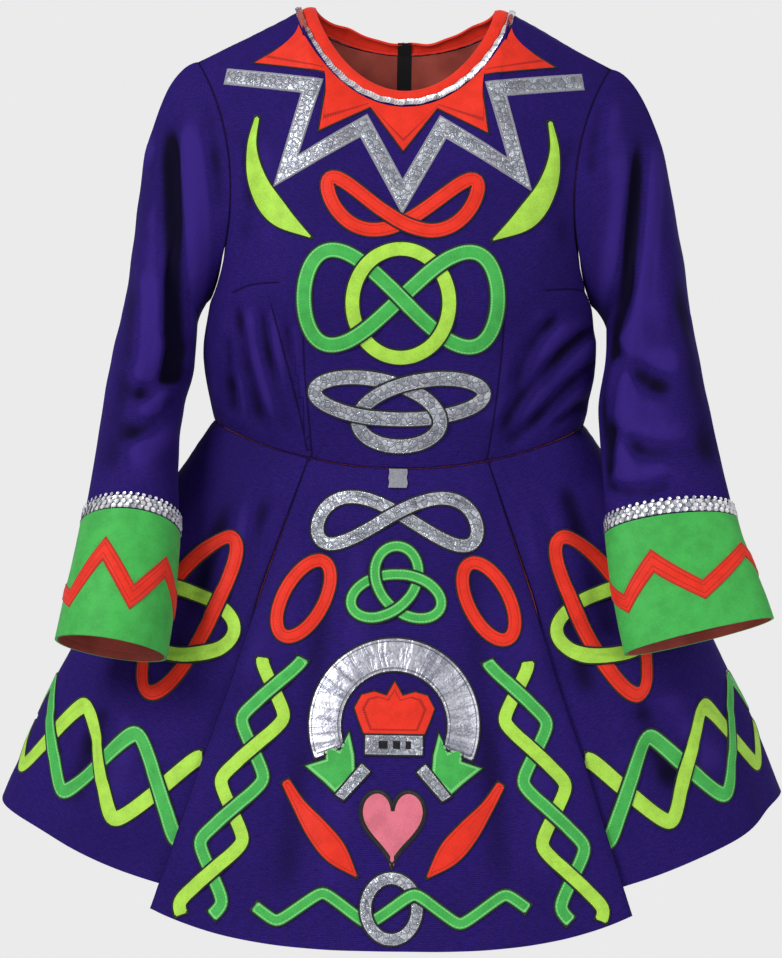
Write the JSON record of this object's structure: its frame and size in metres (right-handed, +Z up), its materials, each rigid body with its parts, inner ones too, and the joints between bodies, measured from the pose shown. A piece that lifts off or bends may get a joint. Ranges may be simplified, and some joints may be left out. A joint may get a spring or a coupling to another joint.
{
  "type": "irish dance dress",
  "caption": "Purple Irish dance dress with long sleeves, green cuffs, a flared skirt with a proud centre panel and bright knotwork appliques.",
  "frame": {"origin": "at the neck, midway between the high shoulder points, where a wearer's shoulders carry the dress", "axes": "+Z up along the body, -Y to the dress's front, +X to the right of a viewer who faces the front"},
  "size_m": [0.6816, 0.3791, 0.7988],
  "materials": {
    "purple_wool": "matt wool",
    "green_crepe": "crepe",
    "lime_crepe": "crepe",
    "orange_crepe": "crepe",
    "pink_crepe": "crepe",
    "silver_cloth": "metallic crackle",
    "red_lining": "satin lining",
    "black_tape": "woven tape",
    "zip_metal": "dark metal"
  },
  "bodies": {
    "dress": {"bodice_front": "purple_wool", "bodice_back_left": "purple_wool", "bodice_back_right": "purple_wool", "skirt_front": "purple_wool", "skirt_side_left": "purple_wool", "skirt_side_right": "purple_wool", "skirt_back_left": "purple_wool", "skirt_back_right": "purple_wool", "sleeve_left": "purple_wool", "sleeve_right": "purple_wool", "neck_binding": "orange_crepe", "neck_trim": "silver_cloth", "cuff_left": "green_crepe", "cuff_trim_left": "silver_cloth", "cuff_lining_left": "red_lining", "lining_back_left": "red_lining", "cuff_right": "green_crepe", "cuff_trim_right": "silver_cloth", "cuff_lining_right": "red_lining", "lining_back_right": "red_lining", "zip_tape": "black_tape", "zip_chain": "zip_metal", "zip_slider": "zip_metal", "waist_tab": "silver_cloth", "yoke_points": "orange_crepe", "yoke_zigzag": "silver_cloth", "claddagh_ring": "silver_cloth", "claddagh_heart": "pink_crepe", "claddagh_crown": "orange_crepe", "claddagh_hand_left": "green_crepe", "claddagh_hand_right": "green_crepe", "orange_bow": "orange_crepe", "green_eight": "green_crepe", "lime_ring": "lime_crepe", "silver_trinity": "silver_cloth", "silver_arch": "silver_cloth", "green_trinity": "green_crepe", "silver_loop": "silver_cloth", "green_wave": "green_crepe", "lime_leaf_left": "lime_crepe", "orange_leaf_left": "orange_crepe", "orange_oval_left": "orange_crepe", "orange_loop_left": "orange_crepe", "lime_loop_left": "lime_crepe", "edge_plait_lime_left": "lime_crepe", "edge_plait_green_left": "green_crepe", "hem_plait_lime_left": "lime_crepe", "hem_plait_green_left": "green_crepe", "cuff_zigzag_left": "orange_crepe", "lime_leaf_right": "lime_crepe", "orange_leaf_right": "orange_crepe", "orange_oval_right": "orange_crepe", "orange_loop_right": "orange_crepe", "lime_loop_right": "lime_crepe", "edge_plait_lime_right": "lime_crepe", "edge_plait_green_right": "green_crepe", "hem_plait_lime_right": "lime_crepe", "hem_plait_green_right": "green_crepe", "cuff_zigzag_right": "orange_crepe"},
    "pull": {"zip_pull": "zip_metal"}
  },
  "joints": [
    {"name": "zip_pull_hinge", "type": "hinge", "parent": "dress", "child": "pull", "pos_m": [0, 0.05988, -0.04111], "axis": [1, 0, 0], "range_deg": [0, 150]}
  ]
}
